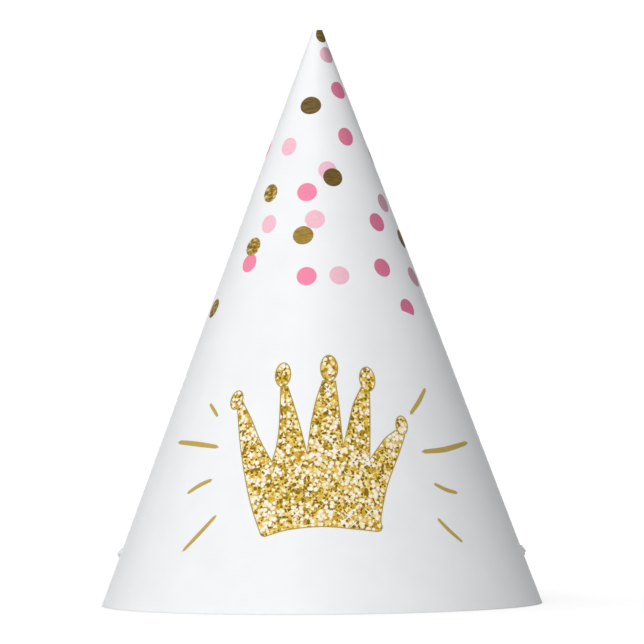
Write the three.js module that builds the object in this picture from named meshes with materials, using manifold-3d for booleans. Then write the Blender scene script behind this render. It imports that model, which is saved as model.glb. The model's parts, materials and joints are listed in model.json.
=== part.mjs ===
// New year party hat: one printed card blank rolled into a cone and closed with adhesive tape in a lap
// seam at the back, with a covered elastic chin strap that is knotted through two punched holes.
//
// Units are millimetres. The rim lies in the plane z = 0 and +Z runs up the cone's axis. The printed
// face looks towards -Y and the seam is at +Y. An azimuth is measured round the axis from the front
// (-Y) and grows towards +X, so the seam is at 180 degrees.

import * as THREE from "three";
import { mergeVertices } from "three/addons/utils/BufferGeometryUtils.js";
import Module from "manifold-3d";

const { degToRad } = THREE.MathUtils;

// Card blank: a sector of a ring, given by its slant radii from the cone's point
const HALF_ANGLE = degToRad(20.5);
const SLANT = 195;
const TIP_CUT = 4.5;
const CARD = 0.35;
const AZIMUTH_STEP = 2;

// Lap seam: the outer end of the card lies over the inner end, with the tape between them
const LAP_ANGLE = 10;
const LAP_RAMP = 54;
const TAPE = 0.15;
const TAPE_WIDTH = 4;
const TAPE_TOP = 76;
const TAPE_BOTTOM = 189;
const TAPE_CLEARANCE = 0.05;

// Strap holes and the knots outside them
const HOLE_AZIMUTH = 101;
const HOLE_SLANT = 178;
const HOLE_RADIUS = 1.5;
const HOLE_SIDES = 24;
const PUNCH_REACH = 2;
const KNOT = { out: 1.2, up: 1.85, around: 1.55 };
const KNOT_CLEARANCE = 0.1;
const TAIL_LENGTH = 4.2;
const TAIL_DROOP = 0.8;

// Elastic cord: a braided cover round a rubber core
const CORD_RADIUS = 0.6;
const COVER_BORE = 0.38;
const CORE_RADIUS = 0.3;
const CORD_SIDES = 10;

// Strap loop, tucked inside the hat: it leaves each hole along the line through both holes, turns
// forward and follows the inside of the front wall down to the rim
const TUCK_TILT = degToRad(10.8);
const LOOP_DEPTH = 79.3;
const STUB_INSIDE = 1.3;
const LEG_RUN_IN = 1;
const LEG_BEND = 2.5;
const LEG_SHARE = 0.235;
const SPLIT_GAP = 0.3;
const ARC_HANDLE = 0.5523; // handle length that makes a cubic curve follow a quarter circle

// Worked out from the dimensions above
const SLOPE = Math.tan(HALF_ANGLE);
const POINT_HEIGHT = SLANT * Math.cos(HALF_ANGLE);
const HAT_HEIGHT = (SLANT - TIP_CUT) * Math.cos(HALF_ANGLE);
const SHEET_START = -180 - LAP_ANGLE / 2;
const SHEET_END = 180 + LAP_ANGLE / 2;
const LAP_LIFT = CARD + TAPE + 2 * TAPE_CLEARANCE;

const wasm = await Module();
wasm.setup();

// ---------------------------------------------------------------- solids

// A closed body from a row of closed rings with equal point counts, capped at both ends.
function loft(rings) {
  const count = rings[0].length;
  const positions = rings.flat().flatMap((point) => [point.x, point.y, point.z]);
  const index = [];
  for (let i = 0; i + 1 < rings.length; i += 1) {
    for (let j = 0; j < count; j += 1) {
      const a = i * count + j;
      const b = i * count + ((j + 1) % count);
      index.push(a, b + count, b, a, a + count, b + count);
    }
  }
  const last = (rings.length - 1) * count;
  for (let j = 1; j + 1 < count; j += 1) {
    index.push(0, j, j + 1, last, last + j + 1, last + j);
  }
  const geometry = new THREE.BufferGeometry();
  geometry.setAttribute("position", new THREE.Float32BufferAttribute(positions, 3));
  geometry.setIndex(index);
  return geometry;
}

function toManifold(source) {
  const bare = source.clone();
  bare.deleteAttribute("normal");
  bare.deleteAttribute("uv");
  const merged = mergeVertices(bare, 1e-4);
  return new wasm.Manifold(new wasm.Mesh({
    numProp: 3,
    vertProperties: new Float32Array(merged.attributes.position.array),
    triVerts: new Uint32Array(merged.index.array),
  }));
}

function fromManifold(solid) {
  const mesh = solid.getMesh();
  const geometry = new THREE.BufferGeometry();
  geometry.setAttribute("position", new THREE.Float32BufferAttribute(mesh.vertProperties, 3));
  geometry.setIndex(Array.from(mesh.triVerts));
  return geometry;
}

// A cylinder from one point to another.
function rod(from, to, radius, sides) {
  const along = to.clone().sub(from);
  const geometry = new THREE.CylinderGeometry(radius, radius, along.length(), sides);
  const up = new THREE.Vector3(0, 1, 0);
  geometry.applyQuaternion(new THREE.Quaternion().setFromUnitVectors(up, along.clone().normalize()));
  const middle = from.clone().addScaledVector(along, 0.5);
  return geometry.translate(middle.x, middle.y, middle.z);
}

// ---------------------------------------------------------------- cone

// A point at an azimuth and height, "lift" millimetres outside the cone's outer face along its normal.
function onCone(azimuth, height, lift) {
  const angle = degToRad(azimuth);
  const radius = (POINT_HEIGHT - height) * SLOPE + lift / Math.cos(HALF_ANGLE);
  return new THREE.Vector3(radius * Math.sin(angle), -radius * Math.cos(angle), height);
}

function heightAt(slant) {
  return POINT_HEIGHT - slant * Math.cos(HALF_ANGLE);
}

// How far the card has climbed off the cone at an azimuth, so that its outer end clears its inner end.
function lapLift(azimuth) {
  const rampEnd = SHEET_END - LAP_ANGLE - AZIMUTH_STEP;
  return LAP_LIFT * THREE.MathUtils.smoothstep(azimuth, rampEnd - LAP_RAMP, rampEnd);
}

// The hole's centre halfway through the card, and the card's own directions there.
function holeFrame(side) {
  const azimuth = side * HOLE_AZIMUTH;
  const height = heightAt(HOLE_SLANT);
  const around = new THREE.Vector3(Math.cos(degToRad(azimuth)), Math.sin(degToRad(azimuth)), 0);
  const down = onCone(azimuth, 0, 0).sub(onCone(azimuth, HAT_HEIGHT, 0)).normalize();
  const out = down.clone().cross(around).normalize();
  return { centre: onCone(azimuth, height, -CARD / 2), around, up: down.negate(), out };
}

function coneSheet() {
  const rings = [];
  for (let azimuth = SHEET_START; azimuth <= SHEET_END; azimuth += AZIMUTH_STEP) {
    const lift = lapLift(azimuth);
    rings.push([
      onCone(azimuth, 0, lift),
      onCone(azimuth, HAT_HEIGHT, lift),
      onCone(azimuth, HAT_HEIGHT, lift - CARD),
      onCone(azimuth, 0, lift - CARD),
    ]);
  }
  let card = toManifold(loft(rings));
  for (const side of [-1, 1]) {
    const { centre, out } = holeFrame(side);
    const reach = out.clone().multiplyScalar(PUNCH_REACH);
    const punch = rod(centre.clone().sub(reach), centre.clone().add(reach), HOLE_RADIUS, HOLE_SIDES);
    card = card.subtract(toManifold(punch));
  }
  return fromManifold(card);
}

// A straight strip of constant width, laid down the middle of the lap.
function seamTape() {
  const rings = [];
  const lengthSteps = 8;
  const widthSteps = 4;
  for (let i = 0; i <= lengthSteps; i += 1) {
    const down = THREE.MathUtils.lerp(TAPE_TOP, TAPE_BOTTOM, i / lengthSteps);
    const outer = [];
    const inner = [];
    for (let j = 0; j <= widthSteps; j += 1) {
      const across = TAPE_WIDTH * (j / widthSteps - 0.5);
      const turn = THREE.MathUtils.radToDeg(Math.atan2(across, down) / Math.sin(HALF_ANGLE));
      const height = heightAt(Math.hypot(across, down));
      outer.push(onCone(180 + turn, height, TAPE_CLEARANCE + TAPE));
      inner.push(onCone(180 + turn, height, TAPE_CLEARANCE));
    }
    rings.push([...outer, ...inner.reverse()]);
  }
  return loft(rings);
}

// ---------------------------------------------------------------- strap

// The stopper knot with its cut tail, and the stub of cord that passes through the hole.
function knot(side) {
  const { centre, around, up, out } = holeFrame(side);
  const middle = centre.clone().addScaledVector(out, CARD / 2 + KNOT_CLEARANCE + KNOT.out);
  const ball = new THREE.SphereGeometry(1, 20, 14);
  ball.scale(KNOT.out, KNOT.around, KNOT.up);
  ball.applyMatrix4(new THREE.Matrix4().makeBasis(out, up.clone().cross(out), up).setPosition(middle));

  const stubEnd = centre.clone().setX(centre.x - side * STUB_INSIDE);
  const stubStart = centre.clone().setX(centre.x + side * KNOT.out);
  const stub = rod(stubStart, stubEnd, CORD_RADIUS, CORD_SIDES);

  const tailWay = around.clone().multiplyScalar(side).addScaledVector(up, -TAIL_DROOP).normalize();
  const tailEnd = middle.clone().addScaledVector(tailWay, TAIL_LENGTH);
  const tail = rod(middle, tailEnd, CORD_RADIUS, CORD_SIDES);
  return fromManifold(toManifold(ball).add(toManifold(stub)).add(toManifold(tail)));
}

// The strap's centre line from the left hole to the right hole, in its own plane: X runs through
// both holes and -Y towards the middle of the loop.
function strapLine() {
  const start = holeFrame(1).centre.x - STUB_INSIDE - SPLIT_GAP;
  const bendAt = start - LEG_RUN_IN;
  const side = bendAt - LEG_BEND;
  const at = (x, y) => new THREE.Vector3(x, -y, 0);
  const bendHandle = ARC_HANDLE * LEG_BEND;
  const loopHandle = ARC_HANDLE * (LOOP_DEPTH - LEG_BEND);
  const middleHandle = ARC_HANDLE * side;
  const line = new THREE.CurvePath();
  line.add(new THREE.LineCurve3(at(-start, 0), at(-bendAt, 0)));
  line.add(new THREE.CubicBezierCurve3(
    at(-bendAt, 0), at(-bendAt + bendHandle, 0),
    at(-side, LEG_BEND - bendHandle), at(-side, LEG_BEND),
  ));
  line.add(new THREE.CubicBezierCurve3(
    at(-side, LEG_BEND), at(-side, LEG_BEND + loopHandle),
    at(-middleHandle, LOOP_DEPTH), at(0, LOOP_DEPTH),
  ));
  line.add(new THREE.CubicBezierCurve3(
    at(0, LOOP_DEPTH), at(middleHandle, LOOP_DEPTH),
    at(side, LEG_BEND + loopHandle), at(side, LEG_BEND),
  ));
  line.add(new THREE.CubicBezierCurve3(
    at(side, LEG_BEND), at(side, LEG_BEND - bendHandle),
    at(bendAt - bendHandle, 0), at(bendAt, 0),
  ));
  line.add(new THREE.LineCurve3(at(bendAt, 0), at(start, 0)));
  return line;
}

// Part of a longer line, between two shares of its length.
class Stretch extends THREE.Curve {
  constructor(line, from, to) {
    super();
    this.line = line;
    this.from = from;
    this.to = to;
  }

  getPoint(share, target = new THREE.Vector3()) {
    return target.copy(this.line.getPoint(THREE.MathUtils.lerp(this.from, this.to, share)));
  }
}

function alongCord(path, outline, steps) {
  return new THREE.ExtrudeGeometry(outline, {
    steps, extrudePath: path, curveSegments: CORD_SIDES / 2,
  });
}

function circle(radius) {
  return new THREE.Shape().absarc(0, 0, radius, 0, 2 * Math.PI, false);
}

function cordCover(path, steps) {
  const outline = circle(CORD_RADIUS);
  outline.holes.push(circle(COVER_BORE));
  return alongCord(path, outline, steps);
}

function cordCore(path, steps) {
  return alongCord(path, circle(CORE_RADIUS), steps);
}

// ---------------------------------------------------------------- assembly

const LOOKS = {
  card: { color: 0xf4f5f7, roughness: 0.55, metalness: 0 },
  tape: { color: 0xf1ead2, roughness: 0.3, metalness: 0 },
  cover: { color: 0xf2f2f0, roughness: 0.8, metalness: 0 },
  core: { color: 0xe4dcc8, roughness: 0.6, metalness: 0 },
};

function piece(name, geometry, look) {
  const mesh = new THREE.Mesh(geometry, new THREE.MeshStandardMaterial(LOOKS[look]));
  mesh.name = name;
  return mesh;
}

function strap() {
  const group = new THREE.Group();
  const line = strapLine();
  const gap = SPLIT_GAP / line.getLength();
  const stretches = [
    ["strap_leg_left", 0, LEG_SHARE, 16],
    ["strap_bight", LEG_SHARE + gap, 1 - LEG_SHARE - gap, 36],
    ["strap_leg_right", 1 - LEG_SHARE, 1, 16],
  ];
  for (const [name, from, to, steps] of stretches) {
    const path = new Stretch(line, from, to);
    group.add(piece(name, cordCover(path, steps), "cover"));
    group.add(piece(`${name}_core`, cordCore(path, steps), "core"));
  }
  const { centre } = holeFrame(1);
  group.position.set(0, centre.y, centre.z);
  group.rotation.x = TUCK_TILT;
  return group;
}

const hat = new THREE.Group();
hat.add(piece("cone_sheet", coneSheet(), "card"));
hat.add(piece("seam_tape", seamTape(), "tape"));
hat.add(piece("knot_left", knot(-1), "cover"));
hat.add(piece("knot_right", knot(1), "cover"));
hat.add(strap());

export default hat;
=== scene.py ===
"""Looks of the new year party hat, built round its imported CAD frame.

The object is in metres. The card and its print are laid out flat first, in millimetres, and then rolled
onto the cone: the cone's point is the origin, u runs to the right as the front is seen, and v runs down
towards the rim. An azimuth is in degrees from the front, growing to the right.
"""

import json
import math
import random

import bmesh
import bpy
from mathutils import Matrix, Vector
from mathutils.geometry import interpolate_bezier

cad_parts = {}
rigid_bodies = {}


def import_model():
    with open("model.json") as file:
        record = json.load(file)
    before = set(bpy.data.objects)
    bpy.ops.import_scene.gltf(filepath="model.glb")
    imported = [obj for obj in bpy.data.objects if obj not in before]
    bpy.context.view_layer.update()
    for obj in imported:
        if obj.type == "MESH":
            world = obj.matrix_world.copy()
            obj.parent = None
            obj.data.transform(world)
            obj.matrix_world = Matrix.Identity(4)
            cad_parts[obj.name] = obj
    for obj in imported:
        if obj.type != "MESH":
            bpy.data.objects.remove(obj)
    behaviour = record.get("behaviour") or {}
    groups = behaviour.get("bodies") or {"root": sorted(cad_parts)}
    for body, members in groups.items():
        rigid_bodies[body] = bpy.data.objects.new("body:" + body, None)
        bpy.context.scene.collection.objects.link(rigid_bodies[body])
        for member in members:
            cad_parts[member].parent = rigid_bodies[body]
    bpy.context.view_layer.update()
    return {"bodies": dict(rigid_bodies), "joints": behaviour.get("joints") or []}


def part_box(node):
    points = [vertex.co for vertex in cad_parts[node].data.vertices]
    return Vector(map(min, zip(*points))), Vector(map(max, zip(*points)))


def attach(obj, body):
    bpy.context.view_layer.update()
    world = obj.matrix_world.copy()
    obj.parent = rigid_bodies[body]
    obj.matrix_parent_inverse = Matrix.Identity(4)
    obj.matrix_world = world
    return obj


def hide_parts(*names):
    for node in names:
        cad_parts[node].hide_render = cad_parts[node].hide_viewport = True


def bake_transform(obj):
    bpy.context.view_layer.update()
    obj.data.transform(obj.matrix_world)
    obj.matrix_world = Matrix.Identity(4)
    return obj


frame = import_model()

MM = 0.001
SEED = 7

# ---------------------------------------------------------------- sizes, in millimetres

# The cone, whose slants are measured down its side from its point.
card_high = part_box("cone_sheet")[1] / MM
HALF_ANGLE = math.radians(20.5)
RIM_RADIUS = card_high.x
POINT_HEIGHT = RIM_RADIUS / math.tan(HALF_ANGLE)
RIM_SLANT = POINT_HEIGHT / math.cos(HALF_ANGLE)
TIP_SLANT = (POINT_HEIGHT - card_high.z) / math.cos(HALF_ANGLE)

# The card's thickness, and the last stretch at its rim, which takes the cut edge's darker colour on the
# outside too: bare fibres of the die-cut edge, and painted shade along the rim's foot.
CARD = 0.35
CRUSHED_AND_SHADED_RIM = 0.3

# The sheet ends at SHEET_END both ways, so that it laps at the back. The end on top rises by LAP_LIFT in
# the LAP_RAMP degrees before LAP_START, to clear the other, and curls up in its last LAP_CURL_SPAN.
SHEET_END = 185
LAP_START = 173
LAP_RAMP = 54
LAP_LIFT = 0.6
LAP_CURL = 0.12
LAP_CURL_SPAN = 5

# How the rolled card differs from a true cone: it is pinched at the tip, bowed down its length, and out
# of round at the rim by a few waves of (count round the hat, height).
TIP_PINCH = 0.15
BOW = 0.18
OUT_OF_ROUND = ((0, 0.15), (2, -0.19), (3, 0.06), (7, 0.03))

TAPE_WIDTH = 4
TAPE_TOP = 76
TAPE_BOTTOM = 189
TAPE_LIFT = 0.05
TAPE = 0.15

HOLE_AZIMUTH = 101
HOLE_SLANT = 178
HOLE_RADIUS = 1.5

# The loop's middle lies LOOP_DEPTH from the hinge line. Its legs run in along that line by LEG_RUN_IN
# before they bend. Out to WALL_INSIDE, the line is clear of the card.
CORD_RADIUS = 0.52
CORE_RADIUS = 0.28
CORD_SIDES = 36
CORE_SIDES = 12
LOOP_DEPTH = 79.3
BEND_RADIUS = 2.5
LEG_RUN_IN = 1
WALL_INSIDE = 60.4

# How far past the bend a knot's stub starts, moves as the strap does, and is overlapped by the strap.
STUB_START = 0.1
STRAP_OVERLAP = 0.4

# How far apart the rings of points along the cord are.
STRAP_STEP = 0.09
KNOT_STEP = 0.08

# REGISTER is how far the printing landed from its place on the sheet.
DOT_RADIUS = 3
PRINT_BOTTOM = 94
REGISTER = (0.18, -0.22)

# A film of ink starts just inside the card's face. Points of a mesh closer than MERGE are made one.
FOOT = -0.01
MERGE = 0.002


# ---------------------------------------------------------------- the rolled card

def smoothstep(value, low, high):
    t = min(max((value - low) / (high - low), 0), 1)
    return t * t * (3 - 2 * t)


def springback(azimuth):
    """How far the rolled card stands off a true cone at the rim: it is never quite round."""
    return sum(height * math.cos(waves * math.radians(azimuth)) for waves, height in OUT_OF_ROUND)


def on_card(azimuth, slant, lift=0.0):
    """The point in metres at an azimuth and slant, lift millimetres outside the card's outer face."""
    share = slant / RIM_SLANT
    lift += LAP_LIFT * smoothstep(azimuth, LAP_START - LAP_RAMP, LAP_START)
    lift += LAP_CURL * smoothstep(azimuth, SHEET_END - LAP_CURL_SPAN, SHEET_END) * share
    lift += springback(azimuth) * share - TIP_PINCH
    lift += BOW * 27 / 4 * share * (1 - share) ** 2  # BOW a third of the way down, 0 at both ends
    radius = slant * math.sin(HALF_ANGLE) + lift / math.cos(HALF_ANGLE)
    turn = math.radians(azimuth)
    height = POINT_HEIGHT - slant * math.cos(HALF_ANGLE)
    return Vector((radius * math.sin(turn), -radius * math.cos(turn), height)) * MM


def flat_turn(azimuth):
    """The angle on the flat card, in radians, that an azimuth unrolls to."""
    return math.radians(azimuth) * math.sin(HALF_ANGLE)


def flat_azimuth(u, v):
    """The azimuth at which a point of the flat card ends up."""
    return math.degrees(math.atan2(u, v)) / math.sin(HALF_ANGLE)


def roll(u, v, lift):
    """Rolls a point of the flat card onto the cone."""
    return on_card(flat_azimuth(u, v), math.hypot(u, v), lift)


def ruling(azimuth):
    """The direction, on the flat card, of the straight line up the cone at an azimuth."""
    turn = flat_turn(azimuth)
    return Vector((math.sin(turn), math.cos(turn), 0))


# ---------------------------------------------------------------- mesh helpers

def add_object(name, bm, materials, smooth_angle=None):
    mesh = bpy.data.meshes.new(name)
    bm.to_mesh(mesh)
    bm.free()
    for material in materials:
        mesh.materials.append(material)
    if smooth_angle is not None:
        mesh.shade_smooth()
        mesh.set_sharp_from_angle(angle=math.radians(smooth_angle))
    obj = bpy.data.objects.new(name, mesh)
    bpy.context.scene.collection.objects.link(obj)
    return obj


def film(name, shapes, material):
    """A layer of ink as a closed thin solid. Each shape is (faces, lift): faces are outlines in flat
    millimetres, and lift is how far the ink's face stands off the card."""
    whole = bmesh.new()
    flat = whole.verts.layers.float_vector.new("flat_mm")
    for faces, lift in shapes:
        bm = bmesh.new()
        for outline in faces:
            bm.faces.new([bm.verts.new((*point, 0)) for point in outline])
        bmesh.ops.remove_doubles(bm, verts=bm.verts, dist=MERGE)
        turns = [flat_azimuth(vert.co.x, vert.co.y) for vert in bm.verts]
        for azimuth in range(math.ceil(min(turns)), math.floor(max(turns)) + 1):
            along = ruling(azimuth)
            across = (along.y, -along.x, 0)
            geometry = bm.verts[:] + bm.edges[:] + bm.faces[:]
            bmesh.ops.bisect_plane(bm, geom=geometry, dist=1e-6, plane_co=(0, 0, 0), plane_no=across)
        bmesh.ops.remove_doubles(bm, verts=bm.verts, dist=MERGE)
        bmesh.ops.triangulate(bm, faces=bm.faces)
        base = {vert: vert.co.copy() for vert in bm.verts}
        tops = {vert: whole.verts.new(roll(p.x, p.y, lift)) for vert, p in base.items()}
        feet = {vert: whole.verts.new(roll(p.x, p.y, FOOT)) for vert, p in base.items()}
        for vert, p in base.items():
            tops[vert][flat] = p
            feet[vert][flat] = p
        for face in bm.faces:
            whole.faces.new([tops[vert] for vert in face.verts])
            whole.faces.new([feet[vert] for vert in reversed(face.verts)])
        for edge in bm.edges:
            if edge.is_boundary:
                a, b = edge.verts
                whole.faces.new([tops[a], feet[a], feet[b], tops[b]])
        bm.free()
    bmesh.ops.recalc_face_normals(whole, faces=whole.faces)
    obj = add_object(name, whole, [material], smooth_angle=40)
    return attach(obj, "hat")


def printed(outline):
    """An outline of the artwork where it lands on the sheet, a little out of register."""
    return [(u + REGISTER[0], v + REGISTER[1]) for u, v in outline]


def clip(outline, normal, offset):
    """The part of a convex outline where point . normal is at most offset."""
    kept = []
    for i, point in enumerate(outline):
        before = outline[i - 1]
        side = point[0] * normal[0] + point[1] * normal[1] - offset
        side_before = before[0] * normal[0] + before[1] * normal[1] - offset
        if side * side_before < 0:
            share = side_before / (side_before - side)
            kept.append(tuple(a + (b - a) * share for a, b in zip(before, point)))
        if side <= 0:
            kept.append(point)
    return kept


def ellipse(centre, radii, tilt=0, count=28):
    cos, sin = math.cos(math.radians(tilt)), math.sin(math.radians(tilt))
    points = []
    for i in range(count):
        turn = 2 * math.pi * i / count
        x, y = radii[0] * math.cos(turn), radii[1] * math.sin(turn)
        points.append((centre[0] + x * cos - y * sin, centre[1] + x * sin + y * cos))
    return points


def through(points, steps=5):
    """A smooth line through a few points, as a Catmull-Rom curve."""
    line = [Vector(p) for p in points]
    ends = [2 * line[0] - line[1]] + line + [2 * line[-1] - line[-2]]
    curve = []
    for a, b, c, d in zip(ends, ends[1:], ends[2:], ends[3:]):
        curve += interpolate_bezier(b, b + (c - a) / 6, c - (d - b) / 6, c, steps + 1)[:-1]
    return curve + [line[-1]]


def ribbon(outline, width):
    """A closed line of a given width along an outline, as quads, with mitred corners."""
    sharpest = 0.35
    count = len(outline)
    sides = []
    for i, point in enumerate(outline):
        a = Vector(outline[i - 1]).to_2d()
        b = Vector(point).to_2d()
        c = Vector(outline[(i + 1) % count]).to_2d()
        first, second = (b - a).normalized(), (c - b).normalized()
        mitre = max(sharpest, math.sqrt(max(0, (1 + first.dot(second)) / 2)))
        normal = Vector((-first.y - second.y, first.x + second.x)).normalized() / mitre
        sides.append((b + normal * width / 2, b - normal * width / 2))
    quads = []
    for i in range(count):
        (a, b), (c, d) = sides[i], sides[(i + 1) % count]
        quads.append([a[:], b[:], d[:], c[:]])
    return quads


def sweep(bm, line, radius, sides, relief=None):
    """A closed tube along a line of points in metres. relief(turn, length) scales the radius."""
    along = bm.verts.layers.float_vector.new("cord_mm")
    normal = Vector((0, 0, 1))
    length = 0
    rings = []
    for i, point in enumerate(line):
        ahead = (line[min(i + 1, len(line) - 1)] - line[max(i - 1, 0)]).normalized()
        normal = (normal - ahead * normal.dot(ahead)).normalized()
        side = ahead.cross(normal)
        length += (point - line[max(i - 1, 0)]).length / MM
        ring = []
        for j in range(sides):
            turn = 2 * math.pi * j / sides
            reach = radius * (relief(turn, length) if relief else 1)
            vert = bm.verts.new(point + (normal * math.cos(turn) + side * math.sin(turn)) * reach * MM)
            vert[along] = (radius * math.cos(turn), radius * math.sin(turn), length)
            ring.append(vert)
        rings.append(ring)
    for a, b in zip(rings, rings[1:]):
        for j in range(sides):
            k = (j + 1) % sides
            bm.faces.new([a[j], a[k], b[k], b[j]])
    bm.faces.new(list(reversed(rings[0])))
    bm.faces.new(rings[-1])


def evenly(line, spacing):
    """Points every spacing millimetres along a line of points in metres."""
    points = [line[0]]
    place = spacing * MM
    for a, b in zip(line, line[1:]):
        gap = (b - a).length
        while place < gap:
            points.append(a.lerp(b, place / gap))
            place += spacing * MM
        place -= gap
    return points + [line[-1]]


# ---------------------------------------------------------------- materials

class Nodes:
    """A short way to write a material's node tree."""

    def __init__(self, name):
        self.material = bpy.data.materials.new(name)
        self.material.use_nodes = True
        self.tree = self.material.node_tree
        self.surface = self.tree.nodes["Principled BSDF"]

    def add(self, kind, **values):
        """Adds a node. Each value goes to the node's input of that name, or else to its setting."""
        node = self.tree.nodes.new("ShaderNode" + kind)
        for key, value in values.items():
            key = key.replace("_", " ")
            if key in node.inputs:
                self.put(node.inputs[key], value)
            else:
                setattr(node, key.replace(" ", "_"), value)
        return node

    def put(self, socket, value):
        if isinstance(value, bpy.types.NodeSocket):
            self.tree.links.new(value, socket)
        else:
            socket.default_value = value

    def set(self, **values):
        for key, value in values.items():
            self.put(self.surface.inputs[key.replace("_", " ")], value)

    def attribute(self, name):
        return self.add("Attribute", attribute_name=name).outputs["Vector"]

    def place(self):
        return self.add("TexCoord").outputs["Object"]

    def noise(self, vector, scale, detail=3, roughness=0.5):
        node = self.add("TexNoise", Vector=vector, Scale=scale, Detail=detail, Roughness=roughness)
        return node.outputs["Fac"]

    def stretch(self, vector, scale, turn=0):
        node = self.add("Mapping", Vector=vector, Scale=scale, Rotation=(0, 0, turn))
        return node.outputs["Vector"]

    def math(self, operation, *values):
        node = self.add("Math", operation=operation)
        for socket, value in zip(node.inputs, values):
            self.put(socket, value)
        return node.outputs[0]

    def smooth(self, value, low, high):
        """Rises smoothly from 0 at low to 1 at high."""
        node = self.add("MapRange", Value=value, interpolation_type="SMOOTHSTEP")
        node.inputs["From Min"].default_value = low
        node.inputs["From Max"].default_value = high
        return node.outputs["Result"]

    def ramp(self, value, stops, interpolation="LINEAR"):
        node = self.add("ValToRGB", Fac=value)
        node.color_ramp.interpolation = interpolation
        elements = node.color_ramp.elements
        while len(elements) < len(stops):
            elements.new(1)
        for element, (position, colour) in zip(elements, stops):
            element.position = position
            element.color = (*colour, 1)
        return node.outputs["Color"]

    def mix(self, share, a, b, blend="MIX"):
        """Mixes two colours. The node has sockets A, B and Result for each kind of value it can mix."""
        node = self.add("Mix", data_type="RGBA", blend_type=blend)
        colour_a, colour_b, colour_out = node.inputs[6], node.inputs[7], node.outputs[2]
        self.put(node.inputs["Factor"], share)
        for socket, value in ((colour_a, a), (colour_b, b)):
            self.put(socket, (*value, 1) if isinstance(value, tuple) else value)
        return colour_out

    def bump(self, height, distance):
        self.set(Normal=self.add("Bump", Height=height, Distance=distance * MM).outputs["Normal"])


def coated_card():
    n = Nodes("coated_card")
    place = n.place()
    mottle = n.noise(place, 90, detail=4)
    grain = n.noise(place, 2600, detail=2)
    n.set(Base_Color=n.ramp(mottle, [(0.3, (0.885, 0.892, 0.905)), (0.7, (0.915, 0.921, 0.932))]))
    n.set(Roughness=n.math("MULTIPLY_ADD", mottle, 0.12, 0.46), Specular_IOR_Level=0.3)
    n.bump(grain, 0.006)
    return n.material


def bare_card():
    n = Nodes("bare_card")
    place = n.place()
    fibres = n.noise(n.stretch(place, (500, 500, 2600)), 1, detail=4, roughness=0.65)
    mottle = n.noise(place, 160, detail=4)
    tint = n.mix(mottle, (0.80, 0.80, 0.785), (0.86, 0.86, 0.85))
    n.set(Base_Color=n.mix(n.math("MULTIPLY", fibres, 0.25), tint, (0.72, 0.71, 0.69)))
    n.set(Roughness=0.9, Specular_IOR_Level=0.15)
    n.bump(fibres, 0.03)
    return n.material


def cut_edge():
    n = Nodes("cut_edge")
    fibres = n.noise(n.place(), 5200, detail=3)
    n.set(Base_Color=n.ramp(fibres, [(0.3, (0.75, 0.745, 0.725)), (0.7, (0.86, 0.855, 0.84))]))
    n.set(Roughness=0.95, Specular_IOR_Level=0.1)
    n.bump(fibres, 0.03)
    return n.material


# The azimuths from and to which painted shade darkens the pink inks on the hat's right, away from the
# light, and fades again behind.
PINK_SHADE_RISES = (3, 48)
PINK_SHADE_FADES = (150, 95)


def ink(name, colour, shaded=None):
    """Flat ink with a fine mottle. Where a darker second colour is given, the ink darkens to it round
    the right side: painted shade for the side turned from the light.
    """
    n = Nodes(name)
    flat = n.attribute("flat_mm")
    mottle = n.noise(flat, 1.1, detail=4, roughness=0.6)
    shade = n.ramp(mottle, [(0.32, (0.92, 0.92, 0.92)), (0.68, (1.0, 1.0, 1.0))])
    if shaded:
        u, v = n.add("SeparateXYZ", Vector=flat).outputs[:2]
        turn = n.math("ARCTAN2", u, v)
        shade_rises = n.smooth(turn, *map(flat_turn, PINK_SHADE_RISES))
        shade_fades = n.smooth(turn, *map(flat_turn, PINK_SHADE_FADES))
        # Painted shade: the ink darkens round the hat's right side.
        colour = n.mix(n.math("MULTIPLY", shade_rises, shade_fades), colour, shaded)
    n.set(Base_Color=n.mix(1.0, colour, shade, "MULTIPLY"), Roughness=0.6, Specular_IOR_Level=0.1)
    n.bump(n.noise(flat, 6, detail=2), 0.004)
    return n.material


# Where across the flat card painted glints and then painted shade start on the gold dots, towards the
# left, and where they are full.
GOLD_GLINTS_RISE = (-5, -16)
GOLD_SHADE_RISES = (-26, -42)


def brushed_gold(name, tones, glint_tones=()):
    """Gold printed like brushed foil, with lighter strokes over darker ones. The tones given last, if
    any, paint glints on it towards the sheet's left, and the first of them paints shade on it farther
    left."""
    n = Nodes(name)
    flat = n.attribute("flat_mm")
    strokes = n.noise(n.stretch(flat, (0.35, 1.5, 1), math.radians(28)), 1, detail=5, roughness=0.62)
    colour = n.ramp(strokes, list(zip((0.30, 0.45, 0.58, 0.70), tones)))
    if glint_tones:
        across = n.add("SeparateXYZ", Vector=flat).outputs["X"]
        grains = n.noise(n.stretch(flat, (0.5, 1.1, 1), math.radians(-50)), 1, detail=3, roughness=0.7)
        painted_glints = n.ramp(grains, list(zip((0.38, 0.47, 0.54, 0.62), glint_tones)))
        # Painted glints towards the sheet's left.
        colour = n.mix(n.smooth(across, *GOLD_GLINTS_RISE), colour, painted_glints)
        # Painted shade farther left, in the first glint tone.
        painted_shade = n.math("MULTIPLY", n.smooth(across, *GOLD_SHADE_RISES), 0.35)
        colour = n.mix(painted_shade, colour, glint_tones[0])
    n.set(Base_Color=colour, Roughness=0.5, Specular_IOR_Level=0.12)
    n.bump(strokes, 0.006)
    return n.material


# The share of pale flakes in the glitter rises in drifts, down the crown and outside its middle part.
DRIFTS_PER_MM = 0.15
DRIFT_STRENGTH = 2.8
PALER_DOWN = 0.007
PALER_DOWN_FROM = 153
PALER_OUT = 0.15
PALER_OUT_FROM = 22.5

# A flake's smallest radius is this share of its layer's largest, and it darkens by RIM_SHADE at its rim.
# LAYER_SHIFT keeps the layers' flakes from lining up.
SMALLEST_FLAKE = 0.55
RIM_SHADE = 0.35
LAYER_SHIFT = 31


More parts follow.
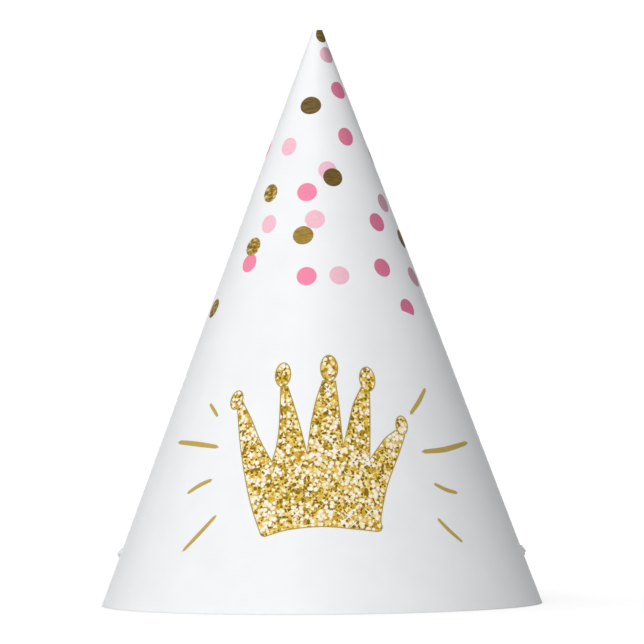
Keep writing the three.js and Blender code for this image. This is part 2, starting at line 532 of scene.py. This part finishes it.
def glitter():
    """Printed glitter: layers of round flakes of one tone each over a ground of finer ones. The large
    pale flakes of the last layer gather in drifts."""
    n = Nodes("gold_glitter_ink")
    flat = n.attribute("flat_mm")
    across, down = n.add("SeparateXYZ", Vector=flat).outputs[:2]

    outside = n.math("MAXIMUM", n.math("SUBTRACT", n.math("ABSOLUTE", across), PALER_OUT_FROM), 0)
    patches = n.noise(flat, DRIFTS_PER_MM, detail=2)
    drift = n.math("MULTIPLY_ADD", patches, DRIFT_STRENGTH, -DRIFT_STRENGTH / 2)
    drift = n.math("MULTIPLY_ADD", n.math("SUBTRACT", down, PALER_DOWN_FROM), PALER_DOWN, drift)
    drift = n.math("MULTIPLY_ADD", outside, PALER_OUT, drift)

    golds = [
        (0.0, (0.24, 0.14, 0.004)),
        (0.10, (0.44, 0.27, 0.014)),
        (0.26, (0.66, 0.41, 0.035)),
        (0.46, (0.80, 0.55, 0.095)),
        (0.66, (0.91, 0.70, 0.24)),
        (0.84, (0.98, 0.86, 0.50)),
    ]
    darks = [(0, (0.17, 0.10, 0.001)), (0.6, (0.30, 0.155, 0.006))]
    pales = [(0, (0.99, 0.93, 0.80)), (0.4, (0.99, 0.88, 0.72)), (0.7, (0.98, 0.86, 0.54))]

    ground = n.add("TexVoronoi", voronoi_dimensions="2D", Vector=flat, Scale=1.35)
    picks = n.add("SeparateColor", Color=ground.outputs["Color"]).outputs
    colour = n.ramp(picks["Red"], golds, "CONSTANT")
    # Each layer's flakes per millimetre, largest radius, share of flakes shown, tones and added share.
    layers = [
        (0.85, 0.75, 0.80, golds, None),
        (0.74, 0.80, 0.50, golds, None),
        (1.30, 0.50, 0.28, darks, None),
        (0.70, 0.84, 0.45, pales, drift),
    ]
    for scale, radius, share, tones, extra in layers:
        place = n.add("Mapping", Vector=flat, Location=(LAYER_SHIFT * scale, 0, 0)).outputs["Vector"]
        cells = n.add("TexVoronoi", voronoi_dimensions="2D", Vector=place, Scale=scale)
        picks = n.add("SeparateColor", Color=cells.outputs["Color"]).outputs
        largest = radius * scale
        smallest = SMALLEST_FLAKE * largest
        reach = n.math("MULTIPLY_ADD", picks["Green"], largest - smallest, smallest)
        out = n.math("DIVIDE", cells.outputs["Distance"], reach)
        rim = n.math("MULTIPLY", n.smooth(out, 0.6, 1), RIM_SHADE)
        tone = n.mix(rim, n.ramp(picks["Red"], tones, "CONSTANT"), (0.42, 0.26, 0.014))
        chance = n.math("SUBTRACT", picks["Blue"], extra) if extra else picks["Blue"]
        shown = n.math("MULTIPLY", n.math("LESS_THAN", chance, share), n.math("LESS_THAN", out, 1))
        colour = n.mix(shown, colour, tone)

    n.set(Base_Color=colour, Roughness=0.5, Specular_IOR_Level=0.06)
    n.bump(picks["Green"], 0.01)
    return n.material


def braid():
    n = Nodes("white_braid")
    cord = n.attribute("cord_mm")
    threads = n.noise(n.stretch(cord, (9, 9, 2.2)), 1, detail=3)
    n.set(Base_Color=n.ramp(threads, [(0.3, (0.72, 0.72, 0.715)), (0.7, (0.88, 0.88, 0.875))]))
    n.set(Roughness=0.8, Specular_IOR_Level=0.25, Sheen_Weight=0.25)
    n.bump(threads, 0.03)
    return n.material


def rubber():
    n = Nodes("rubber_thread")
    tone = n.noise(n.attribute("cord_mm"), 2, detail=3)
    n.set(Base_Color=n.ramp(tone, [(0.3, (0.72, 0.64, 0.48)), (0.7, (0.80, 0.73, 0.57))]))
    n.set(Roughness=0.55)
    return n.material


def tape_film():
    n = Nodes("adhesive_tape")
    tone = n.noise(n.place(), 700, detail=3)
    n.set(Base_Color=n.ramp(tone, [(0.3, (0.78, 0.75, 0.64)), (0.7, (0.86, 0.84, 0.76))]))
    n.set(Roughness=n.math("MULTIPLY_ADD", tone, 0.3, 0.15))
    n.bump(tone, 0.01)
    return n.material


# ---------------------------------------------------------------- card and seam

def hole_frame(side):
    """The centre of a strap hole on the card's outer face, and the ways back, up and out there."""
    azimuth = side * HOLE_AZIMUTH
    centre = on_card(azimuth, HOLE_SLANT)
    up = (on_card(azimuth, TIP_SLANT) - centre).normalized()
    ahead, behind = (on_card(azimuth + step, HOLE_SLANT) for step in (-side * 0.5, side * 0.5))
    back = (behind - ahead).normalized()
    out = back.cross(up) * side
    return centre, back, up, out.normalized()


def punch(card):
    """Cuts the two strap holes, and clears up the slivers that the cuts leave."""
    cutter_length = 3 * MM
    for side in (-1, 1):
        centre, back, up, out = hole_frame(side)
        bm = bmesh.new()
        turn = Matrix((back * side, up, out)).transposed().to_4x4()
        bmesh.ops.create_cone(
            bm, cap_ends=True, segments=40, radius1=HOLE_RADIUS * MM, radius2=HOLE_RADIUS * MM,
            depth=cutter_length, matrix=Matrix.Translation(centre) @ turn)
        cutter = add_object("cutter", bm, [])
        cut = card.modifiers.new("hole", "BOOLEAN")
        cut.object = cutter
        cut.solver = "EXACT"
        bpy.context.view_layer.update()
        depsgraph = bpy.context.evaluated_depsgraph_get()
        mesh = bpy.data.meshes.new_from_object(card.evaluated_get(depsgraph), depsgraph=depsgraph)
        card.modifiers.clear()
        card.data = mesh
        bpy.data.objects.remove(cutter)
    bm = bmesh.new()
    bm.from_mesh(card.data)
    bmesh.ops.remove_doubles(bm, verts=bm.verts, dist=MERGE * MM)
    bmesh.ops.dissolve_degenerate(bm, edges=bm.edges, dist=MERGE * MM)
    bm.to_mesh(card.data)
    bm.free()


def make_card():
    """The printed sheet, rolled past a full turn so that its ends lap at the back."""
    outside, inside, cut = range(3)
    rows = 36
    slants = [TIP_SLANT + (RIM_SLANT - TIP_SLANT) * i / rows for i in range(rows)]
    slants += [RIM_SLANT - CRUSHED_AND_SHADED_RIM, RIM_SLANT]
    azimuths = range(-SHEET_END, SHEET_END + 1)
    bm = bmesh.new()
    outer = [[bm.verts.new(on_card(a, s)) for s in slants] for a in azimuths]
    inner = [[bm.verts.new(on_card(a, s, -CARD)) for s in slants] for a in azimuths]

    def strip(first, second, slot):
        faces = []
        for a, b, c, d in zip(first, first[1:], second[1:], second):
            faces.append(bm.faces.new((a, b, c, d)))
            faces[-1].material_index = slot
        return faces

    for i in range(len(outer) - 1):
        # The outside's last row, at the rim, takes the cut edge's darker colour: bare fibres, and
        # painted shade along the rim's foot.
        strip(outer[i], outer[i + 1], outside)[-1].material_index = cut
        strip(inner[i + 1], inner[i], inside)
    strip(inner[0], outer[0], cut)
    strip(outer[-1], inner[-1], cut)
    strip([column[0] for column in outer], [column[0] for column in inner], cut)
    strip([column[-1] for column in inner], [column[-1] for column in outer], cut)
    bmesh.ops.recalc_face_normals(bm, faces=bm.faces)
    card = add_object("printed_card", bm, [coated_card(), bare_card(), cut_edge()])
    punch(card)
    card.data.shade_smooth()
    card.data.set_sharp_from_angle(angle=math.radians(40))
    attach(card, "hat")
    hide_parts("cone_sheet")


def make_tape():
    """The double-sided tape in the seam, laid down the middle of the lap."""
    bm = bmesh.new()
    lengths, widths = 60, 6
    layers = []
    for lift in (TAPE_LIFT, TAPE_LIFT + TAPE):
        grid = []
        for i in range(lengths + 1):
            down = TAPE_TOP + (TAPE_BOTTOM - TAPE_TOP) * i / lengths
            row = []
            for j in range(widths + 1):
                across = TAPE_WIDTH * (j / widths - 0.5)
                azimuth = flat_azimuth(across, down) - 180
                row.append(bm.verts.new(on_card(azimuth, math.hypot(across, down), lift)))
            grid.append(row)
        layers.append(grid)
    low, high = layers
    for i in range(lengths):
        for j in range(widths):
            for grid in layers:
                bm.faces.new((grid[i][j], grid[i + 1][j], grid[i + 1][j + 1], grid[i][j + 1]))
        for j in (0, widths):
            bm.faces.new((low[i][j], low[i + 1][j], high[i + 1][j], high[i][j]))
    for i in (0, lengths):
        for j in range(widths):
            bm.faces.new((low[i][j], low[i][j + 1], high[i][j + 1], high[i][j]))
    bmesh.ops.recalc_face_normals(bm, faces=bm.faces)
    tape = add_object("adhesive_tape", bm, [tape_film()], smooth_angle=40)
    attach(tape, "hat")
    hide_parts("seam_tape")


# ---------------------------------------------------------------- print: confetti

DARK, GOLD, HOT, PALE = "dark_gold", "gold", "hot_pink", "light_pink"

# Each dot's ink, centre (u, v) and half width: the printed dots aren't quite round or alike.
CONFETTI = [
    (DARK, 1.3, 6.2, 1.95), (PALE, 3.1, 12.7, 2.6), (HOT, 7.0, 23.9, 2.95), (DARK, -2.5, 30.0, 3.3),
    (HOT, 8.9, 39.5, 2.75), (PALE, -9.9, 42.6, 2.75), (HOT, -22.9, 37.9, 3.0), (HOT, 23.8, 39.85, 3.0),
    (PALE, 2.65, 51.7, 2.9), (DARK, 4.25, 53.9, 3.0), (GOLD, -16.5, 56.75, 2.75), (HOT, -3.8, 58.8, 3.1),
    (PALE, 24.15, 57.5, 3.1), (PALE, -16.7, 67.3, 2.75), (PALE, -1.4, 67.9, 3.1), (HOT, 19.7, 66.0, 3.1),
    (DARK, 34.2, 65.8, 3.3), (GOLD, -22.8, 73.25, 3.0), (GOLD, -5.1, 73.0, 3.2), (HOT, -24.1, 78.5, 3.0),
    (PALE, 37.3, 78.4, 4.0), (HOT, 20.7, 81.3, 3.1), (GOLD, -42.5, 87.1, 3.6), (HOT, -4.1, 86.5, 3.1),
    (PALE, 6.0, 86.2, 3.1), (HOT, 30.4, 92.3, 3.15),
]

# The dots round the back start at UNSEEN_AZIMUTH. Their centres are APART, or now and then only OVERLAP.
UNSEEN_AZIMUTH = 95
UNSEEN_DOTS = 58
HALF_SECTOR = 66
INNERMOST = 2
APART = 9.5
OVERLAP = 3.5
DOT_MARGIN = 0.02


def scattered_dots():
    """The same confetti carried on round the back, where the printed block reaches down to the rim. Dots
    of two inks may overlap, as they do at the front."""
    rng = random.Random(SEED)
    kinds = [HOT, PALE, GOLD, HOT, PALE, DARK]
    dots = list(CONFETTI)
    while len(dots) < len(CONFETTI) + UNSEEN_DOTS:
        turn = math.radians(rng.uniform(-HALF_SECTOR, HALF_SECTOR))
        slant = math.sqrt(rng.uniform(INNERMOST ** 2, RIM_SLANT ** 2))
        u, v = slant * math.sin(turn), slant * math.cos(turn)
        kind = kinds[len(dots) % len(kinds)]
        gaps = [(math.hypot(u - dot[1], v - dot[2]), dot[0]) for dot in dots]
        near = min(gap for gap, other in gaps)
        near_alike = min(gap for gap, other in gaps if other == kind)
        spacing = rng.choice([OVERLAP] + [APART] * 6)
        edge = abs(flat_azimuth(u, v)) - math.degrees(DOT_RADIUS / slant) / math.sin(HALF_ANGLE)
        if edge > UNSEEN_AZIMUTH and v < PRINT_BOTTOM and near > spacing and near_alike > APART:
            dots.append((kind, u, v, DOT_RADIUS))
    return dots


def dot_outline(u, v, across):
    """A dot's outline, cut where the printed block, the card's tip, its rim or its lapped edge ends. The
    dots are a little flatter towards the tip."""
    down = min(DOT_RADIUS, 2.5 + 0.014 * v)
    outline = printed(clip(ellipse((u, v), (across, down), count=40), (0, 1), PRINT_BOTTOM))
    for azimuth, side in ((SHEET_END, 1), (SHEET_END - 360, -1)):
        along = ruling(azimuth)
        outline = clip(outline, (side * along.y, -side * along.x), -DOT_MARGIN)
    held = []
    for point in outline:
        slant = math.hypot(*point)
        kept = min(max(slant, TIP_SLANT + DOT_MARGIN), RIM_SLANT - DOT_MARGIN)
        held.append((point[0] * kept / slant, point[1] * kept / slant))
    return held


def make_confetti():
    dots = scattered_dots()
    # Each pink's second colour is its painted shade round the hat's right side.
    pale_ink = ink("light_pink_ink", (0.97, 0.56, 0.66), (0.60, 0.345, 0.41))
    hot_ink = ink("hot_pink_ink", (0.98, 0.275, 0.43), (0.71, 0.185, 0.31))
    dark_gold = [(0.09, 0.055, 0.011), (0.145, 0.088, 0.020), (0.18, 0.111, 0.027), (0.29, 0.18, 0.05)]
    gold = [(0.23, 0.135, 0.018), (0.32, 0.195, 0.028), (0.40, 0.25, 0.040), (0.58, 0.39, 0.10)]
    # Tones of the painted glints on the gold dots; the first is also their painted shade farther left.
    painted_glints = [(0.15, 0.085, 0.010), (0.29, 0.170, 0.024), (0.42, 0.27, 0.046), (0.80, 0.62, 0.27)]
    looks = [
        (PALE, 0.020, pale_ink, "print_light_pink"),
        (HOT, 0.028, hot_ink, "print_hot_pink"),
        (DARK, 0.036, brushed_gold("dark_gold_ink", dark_gold), "print_gold"),
        (GOLD, 0.036, brushed_gold("gold_ink", gold, painted_glints), "print_gold"),
    ]
    for kind, lift, material, slot in looks:
        shapes = []
        for dot_kind, u, v, across in dots:
            outline = dot_outline(u, v, across) if dot_kind == kind else []
            if len(outline) > 2:
                shapes.append(([outline], lift))
        piece = film("confetti_" + kind, shapes, material)


# ---------------------------------------------------------------- print: crown

# Each point of the crown: its ball's centre, radii and tilt, then the run up its left side and the run
# down its right side.
SPIKES = [
    ((-27.1, 123.9), (2.15, 3.0), 18,
     [(-18.5, 169.2), (-19.2, 167.6), (-22.4, 157.1), (-25.3, 141.2), (-26.7, 127.5), (-26.8, 125.0)],
     [(-25.4, 124.2), (-24.3, 126.2), (-21.7, 131.6), (-19.0, 138.5), (-15.2, 146.0)]),
    ((-11.6, 118.1), (2.4, 3.85), 4,
     [(-13.9, 141.9), (-12.9, 135.3), (-12.3, 122.1)],
     [(-10.1, 122.1), (-8.2, 128.5), (-6.4, 135.3), (-4.4, 143.9)]),
    ((2.55, 116.6), (2.6, 4.2), 0,
     [(-3.1, 134.6), (-1.5, 127.1), (0.6, 120.6)],
     [(4.45, 120.8), (5.5, 129.4), (6.6, 141.6)]),
    ((14.4, 119.4), (2.45, 3.9), -4,
     [(8.2, 135.3), (9.9, 128.0), (12.4, 122.3)],
     [(15.0, 123.0), (15.1, 131.0), (14.85, 145.4)]),
    ((25.6, 132.9), (2.0, 3.05), 0,
     [(17.2, 141.9), (19.9, 138.0), (23.5, 134.9)],
     [(26.6, 136.1), (24.3, 142.5), (20.4, 153.0), (18.4, 162.0), (18.1, 165.2), (18.5, 166.6),
      (18.0, 167.9), (16.7, 168.3)]),
]
CROWN_FOOT = [(10.5, 168.0), (0.0, 167.35), (-10.2, 168.0), (-15.5, 169.1), (-17.5, 169.6)]
OUTLINE_WIDTH = 0.34

# How far each print stands off the card: a later one covers an earlier one where they overlap.
BODY_LIFT, BODY_LINE_LIFT, GLINT_LIFT, BALL_LIFT, BALL_LINE_LIFT = 0.030, 0.040, 0.044, 0.050, 0.060
GLINT_STEP = 0.0001

# The two kinds of glints: how many, their largest size and their waist.
GLINTS = [(14, 1.5, 0.46), (16, 2.2, 0.15)]


def crown_outline():
    outline = []
    for *_, left, right in SPIKES:
        outline += through(left) + through(right)
    outline += through(CROWN_FOOT)
    return [tuple(point[:2]) for point in outline]


def inside(point, outline):
    """Whether a point lies inside an outline: a line from it to the right then crosses it an odd number
    of times."""
    hits = 0
    for i, (x, y) in enumerate(outline):
        px, py = outline[i - 1]
        if (y > point[1]) != (py > point[1]) and point[0] < x + (px - x) * (point[1] - y) / (py - y):
            hits += 1
    return hits % 2 == 1


def star(centre, size, waist, tilt):
    """A four-pointed glint, whose waist is a share of its size."""
    points = []
    for i in range(8):
        turn = math.radians(tilt + 45 * i)
        reach = size if i % 2 == 0 else waist * size
        points.append((centre[0] + reach * math.cos(turn), centre[1] + reach * math.sin(turn)))
    return points


def make_crown():
    body = printed(crown_outline())
    balls = [printed(ellipse(*ball)) for *ball, _, _ in SPIKES]
    shapes = [([body], BODY_LIFT)] + [([ball], BALL_LIFT) for ball in balls]
    crown = film("crown_glitter", shapes, glitter())

    lines = [(ribbon(body, OUTLINE_WIDTH), BODY_LINE_LIFT)]
    lines += [(ribbon(ball, OUTLINE_WIDTH), BALL_LINE_LIFT) for ball in balls]
    outline = film("crown_outline", lines, ink("outline_ink", (0.47, 0.325, 0.05)))

    rng = random.Random(SEED)
    glints = []
    for count, reach, waist in GLINTS:
        wanted = len(glints) + count
        while len(glints) < wanted:
            centre = (rng.uniform(-26, 26), rng.uniform(122, 168))
            size = reach * rng.uniform(0.65, 1.1)
            tilt = 45 if waist < 0.2 else rng.uniform(0, 90)
            glint = star(centre, size, waist, tilt)
            if all(inside(corner, body) for corner in glint):
                glints.append(([glint], GLINT_LIFT + GLINT_STEP * len(glints)))
    sparks = film("crown_glints", glints, ink("glint_ink", (0.99, 0.96, 0.90)))


# ---------------------------------------------------------------- print: rays

# Each ray's points and its width in the middle.
RAYS = [
    ([(-37.8, 122.3), (-36.0, 124.9), (-34.2, 127.7)], 1.15),
    ([(-52.6, 130.5), (-42.8, 134.5), (-33.4, 138.1)], 1.6),
    ([(-45.5, 150.4), (-40.3, 149.0), (-35.5, 148.3)], 1.4),
    ([(-46.2, 169.5), (-39.8, 165.1), (-33.6, 160.3)], 1.4),
    ([(28.8, 128.7), (32.5, 123.4), (35.5, 118.2)], 1.4),
    ([(32.5, 140.3), (42.3, 137.0), (54.9, 130.4)], 1.7),
    ([(36.6, 149.9), (41.5, 150.8), (46.2, 150.6)], 1.35),
    ([(37.4, 161.1), (41.6, 164.1), (46.9, 166.9)], 1.3),
]
RAY_LIFT = 0.03


def stroke(points, width):
    """A brush stroke along a line. Its width falls to a share, thin, towards the ends, and each end is
    rounded off over a share, cap, of its length, down to a tip that is only slightly blunt."""
    thin, cap, blunt = 0.7, 0.06, 0.004
    line = [point.to_2d() for point in through([(*p, 0) for p in points], 8)]
    left, right = [], []
    last = len(line) - 1
    for i, point in enumerate(line):
        share = i / last
        ahead = (line[min(i + 1, last)] - line[max(i - 1, 0)]).normalized()
        body = thin + (1 - thin) * math.sin(math.pi * share)
        end = math.sin(math.pi / 2 * min(1, (min(share, 1 - share) + blunt) / cap))
        half = width / 2 * body * end
        normal = Vector((-ahead.y, ahead.x))
        left.append((point + normal * half)[:])
        right.append((point - normal * half)[:])
    return left + right[::-1]


def make_rays():
    shapes = [([printed(stroke(points, width))], RAY_LIFT) for points, width in RAYS]
    rays = film("rays", shapes, ink("ray_ink", (0.56, 0.40, 0.095)))


# ---------------------------------------------------------------- elastic cord

swing = next(joint for joint in frame["joints"] if joint["name"] == "strap_swing")
stretch = next(joint for joint in frame["joints"] if joint["name"] == "strap_stretch")
HINGE = Vector(swing["pos_m"])
LOOP_WAY = Vector(stretch["axis"])


def in_loop(across, depth, away=0.0):
    """A point that lies across along the hinge, depth towards the loop's middle and away off the plane
    of those two, in millimetres."""
    normal = Vector((1, 0, 0)).cross(LOOP_WAY)
    return HINGE + (Vector((across, 0, 0)) + LOOP_WAY * depth + normal * away) * MM


def weave(turn, length):
    """Braid relief: two sets of strands that wind opposite ways and pass over and under."""
    strands, pitch = 6, 4.2
    valley, height = 0.88, 0.14
    wind = 2 * math.pi * length / pitch
    first = abs(math.cos(strands * (turn + wind) / 2))
    second = abs(math.cos(strands * (turn - wind) / 2))
    over = 0.5 + 0.5 * math.cos(strands * turn) * math.cos(strands * wind)
    return valley + height * (over * first + (1 - over) * second)


def loop_line():
    """The strap from bend to bend, tucked along the inside of the front and not quite in one plane, and
    how far out each bend starts."""
    bend_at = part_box("strap_leg_right")[1].x / MM - LEG_RUN_IN
    side = bend_at - BEND_RADIUS
    deep = LOOP_DEPTH - BEND_RADIUS
    bend_steps, side_steps = 6, 120
    sway, sway_length = 0.35, 6.5
    line = []
    for i in range(bend_steps + 1):
        turn = math.pi / 2 * i / bend_steps
        line.append((bend_at - BEND_RADIUS * math.sin(turn), BEND_RADIUS * (1 - math.cos(turn))))
    for i in range(1, side_steps):
        turn = math.pi / 2 * i / side_steps
        line.append((side * math.cos(turn), BEND_RADIUS + deep * math.sin(turn)))
    line += [(0, LOOP_DEPTH)] + [(-x, depth) for x, depth in reversed(line)]
    end = bend_at + STRAP_OVERLAP
    points = [in_loop(end, 0)]
    for x, depth in line:
        points.append(in_loop(x, depth, sway * math.sin(x / sway_length) * smoothstep(depth, 6, 30)))
    return points + [in_loop(-end, 0)], bend_at


def make_strap():
    """The braid and its rubber core from one bend to the other."""
    line, bend_at = loop_line()
    line = evenly(line, STRAP_STEP)
    looks = [
        ("strap_braid", CORD_RADIUS, CORD_SIDES, weave, braid(), "cord_cover", ""),
        ("strap_rubber", CORE_RADIUS, CORE_SIDES, None, rubber(), "cord_core", "_core"),
    ]
    for name, radius, sides, relief, material, slot, ending in looks:
        bm = bmesh.new()
        sweep(bm, line, radius, sides, relief)
        piece = add_object(name, bm, [material], smooth_angle=60)
        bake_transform(piece)
        nodes = [node + ending for node in ("strap_leg_left", "strap_bight", "strap_leg_right")]
        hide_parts(*nodes)
    return bend_at


# The knot is a trefoil, which an overhand knot is when its ends are joined. It is open by KNOT_GAP at
# both ends of its parameter, and its middle lies KNOT_OUT off the card and KNOT_SAG below the hole.
KNOT_SIZE = 0.5
KNOT_DEPTH = 0.42
KNOT_GAP = 0.22
KNOT_OUT = 1.0
KNOT_SAG = 0.5
TAIL = [(0.3, -0.55, 0.75), (1.3, -0.75, 1.0), (2.2, -1.1, 0.6), (3.2, -1.9, 0.15), (3.9, -2.6, 0.1)]


def knot_line(side, bend_at):
    """The cord's end: out along the hinge line and through the hole, an overhand knot and a cut tail."""
    centre, back, up, out = hole_frame(side)
    just_out = 0.25

    def in_knot(a, w, n):
        return centre + (back * a + up * (w - KNOT_SAG) + out * (n + KNOT_OUT)) * MM

    stub = (bend_at + STUB_START, bend_at + LEG_RUN_IN, WALL_INSIDE + 0.1)
    points = [in_loop(side * x, 0) for x in stub]
    points.append(in_knot(0, KNOT_SAG, just_out - KNOT_OUT))
    steps = 16
    for i in range(steps + 1):
        t = KNOT_GAP + 2 * (math.pi - KNOT_GAP) * i / steps
        x = math.sin(t) + 2 * math.sin(2 * t)
        y = math.cos(t) - 2 * math.cos(2 * t)
        points.append(in_knot(KNOT_SIZE * x, KNOT_SIZE * y, -KNOT_DEPTH * math.sin(3 * t)))
    points += [in_knot(*place) for place in TAIL]
    return evenly(through(points, 8), KNOT_STEP)


def make_cord_ends(bend_at):
    """The knots, each with the stub through its hole, and the rubber that shows at each cut tail."""
    tail_points, rubber_past_cut = 15, 0.25
    cover, core = braid(), rubber()
    for side, word in ((-1, "left"), (1, "right")):
        line = knot_line(side, bend_at)
        bm = bmesh.new()
        sweep(bm, line, CORD_RADIUS, CORD_SIDES, weave)
        knot = add_object("cord_knot_" + word, bm, [cover], smooth_angle=60)
        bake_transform(knot)
        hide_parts("knot_" + word)

        bm = bmesh.new()
        tail = line[-tail_points:]
        tail.append(tail[-1] + (tail[-1] - tail[-2]).normalized() * rubber_past_cut * MM)
        sweep(bm, tail, CORE_RADIUS, CORE_SIDES)
        stub = add_object("cord_tail_rubber_" + word, bm, [core], smooth_angle=60)
        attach(stub, "hat")


# ---------------------------------------------------------------- stage

# In metres, as the object is. The camera's lean and shift bring the outline to where the photo has it.
CAMERA_DISTANCE = 1.836
CAMERA_HEIGHT = 0.087
CAMERA_LEAN = math.radians(-0.455)
CAMERA_SHIFT = (0.0035, 0.0033)
LENS = 330.1

# How far the floor drops and the camera goes down and back by the time the strap hangs straight down.
DROP = 0.17
CAMERA_DROP = 0.45 * DROP
PULL_BACK = 1.75

# The floor clears to plain white over SHADOW_REACH, mostly near the hat, as SHADOW_FADE is well below 1.
SHADOW_REACH = 0.3
SHADOW_FADE = 0.18
FLOOR_GAP = 0.0001

LAMP_DISTANCE = 3.0
LAMP_SIZE = 1.6
LAMP_AIM = Vector((0, 0, 0.08))


def follow_strap(obj, **travel):
    """Moves part of the stage by travel while the strap swings down a quarter turn, so that the strap
    hangs clear of the floor and stays in view."""
    limit = obj.constraints.new("TRANSFORM")
    limit.target = frame["bodies"]["strap"]
    limit.map_from = "ROTATION"
    limit.from_max_x_rot = math.radians(90)
    limit.map_to = "LOCATION"
    limit.map_to_x_from = limit.map_to_y_from = limit.map_to_z_from = "X"
    for key, value in travel.items():
        setattr(limit, "to_max_" + key, value)


def make_floor():
    """A pale floor with a soft shadow by the hat. Farther off, the camera sees it as plain white."""
    bm = bmesh.new()
    bmesh.ops.create_grid(bm, x_segments=1, y_segments=1, size=8)
    n = Nodes("pale_floor")
    lit = n.add("BsdfDiffuse", Color=(0.93, 0.93, 0.93, 1))
    glow = n.add("Emission", Color=(1, 1, 1, 1), Strength=1.10)
    seen = n.add("LightPath").outputs["Is Camera Ray"]
    mix = n.add("MixShader")
    away = n.add("VectorMath", operation="LENGTH")
    n.put(away.inputs[0], n.place())
    clear = n.math("POWER", n.smooth(away.outputs["Value"], 0, SHADOW_REACH), SHADOW_FADE)
    n.put(mix.inputs[0], n.math("MULTIPLY", seen, clear))
    n.put(mix.inputs[1], lit.outputs[0])
    n.put(mix.inputs[2], glow.outputs[0])
    n.put(n.tree.nodes["Material Output"].inputs["Surface"], mix.outputs[0])
    floor = add_object("floor", bm, [n.material])
    floor.location.z = -FLOOR_GAP
    follow_strap(floor, z=-DROP)


def make_world():
    """Soft light from all round, and a white ground for the camera."""
    world = bpy.data.worlds.new("studio")
    bpy.context.scene.world = world
    world.use_nodes = True
    tree = world.node_tree
    soft = tree.nodes["Background"]
    soft.inputs["Color"].default_value = (0.96, 0.975, 1, 1)
    soft.inputs["Strength"].default_value = 0.31
    white = tree.nodes.new("ShaderNodeBackground")
    white.inputs["Color"].default_value = (1, 1, 1, 1)
    white.inputs["Strength"].default_value = 1.05
    path = tree.nodes.new("ShaderNodeLightPath")
    mix = tree.nodes.new("ShaderNodeMixShader")
    tree.links.new(path.outputs["Is Camera Ray"], mix.inputs[0])
    tree.links.new(soft.outputs[0], mix.inputs[1])
    tree.links.new(white.outputs[0], mix.inputs[2])
    tree.links.new(mix.outputs[0], tree.nodes["World Output"].inputs["Surface"])


def make_light(name, azimuth, elevation, power):
    light = bpy.data.lights.new(name, "AREA")
    light.shape = "DISK"
    light.size = LAMP_SIZE
    light.energy = power
    lamp = bpy.data.objects.new(name, light)
    turn, rise = math.radians(azimuth), math.radians(elevation)
    way = Vector((math.sin(turn) * math.cos(rise), -math.cos(turn) * math.cos(rise), math.sin(rise)))
    lamp.location = way * LAMP_DISTANCE + LAMP_AIM
    lamp.rotation_euler = way.to_track_quat("Z", "Y").to_euler()
    lamp.visible_camera = False
    bpy.context.scene.collection.objects.link(lamp)


def make_camera():
    camera = bpy.data.objects.new("camera", bpy.data.cameras.new("camera"))
    camera.data.lens = LENS
    camera.data.shift_x, camera.data.shift_y = CAMERA_SHIFT
    camera.data.clip_end = 50
    camera.location = (0, -CAMERA_DISTANCE, CAMERA_HEIGHT)
    level = Matrix.Rotation(math.radians(90), 3, "X")
    lean = Matrix.Rotation(CAMERA_LEAN, 3, "Z")
    camera.rotation_euler = (level @ lean).to_euler()
    bpy.context.scene.collection.objects.link(camera)
    bpy.context.scene.camera = camera
    follow_strap(camera, y=-PULL_BACK, z=-CAMERA_DROP)


# ---------------------------------------------------------------- everything in place

make_card()
make_tape()
make_confetti()
make_crown()
make_rays()
make_cord_ends(make_strap())

make_floor()
make_world()
make_light("key", azimuth=-19, elevation=34, power=52)
make_light("side", azimuth=-90, elevation=34, power=9.5)
make_light("back", azimuth=180, elevation=8, power=24)
make_camera()
bpy.context.scene.view_settings.view_transform = "Standard"
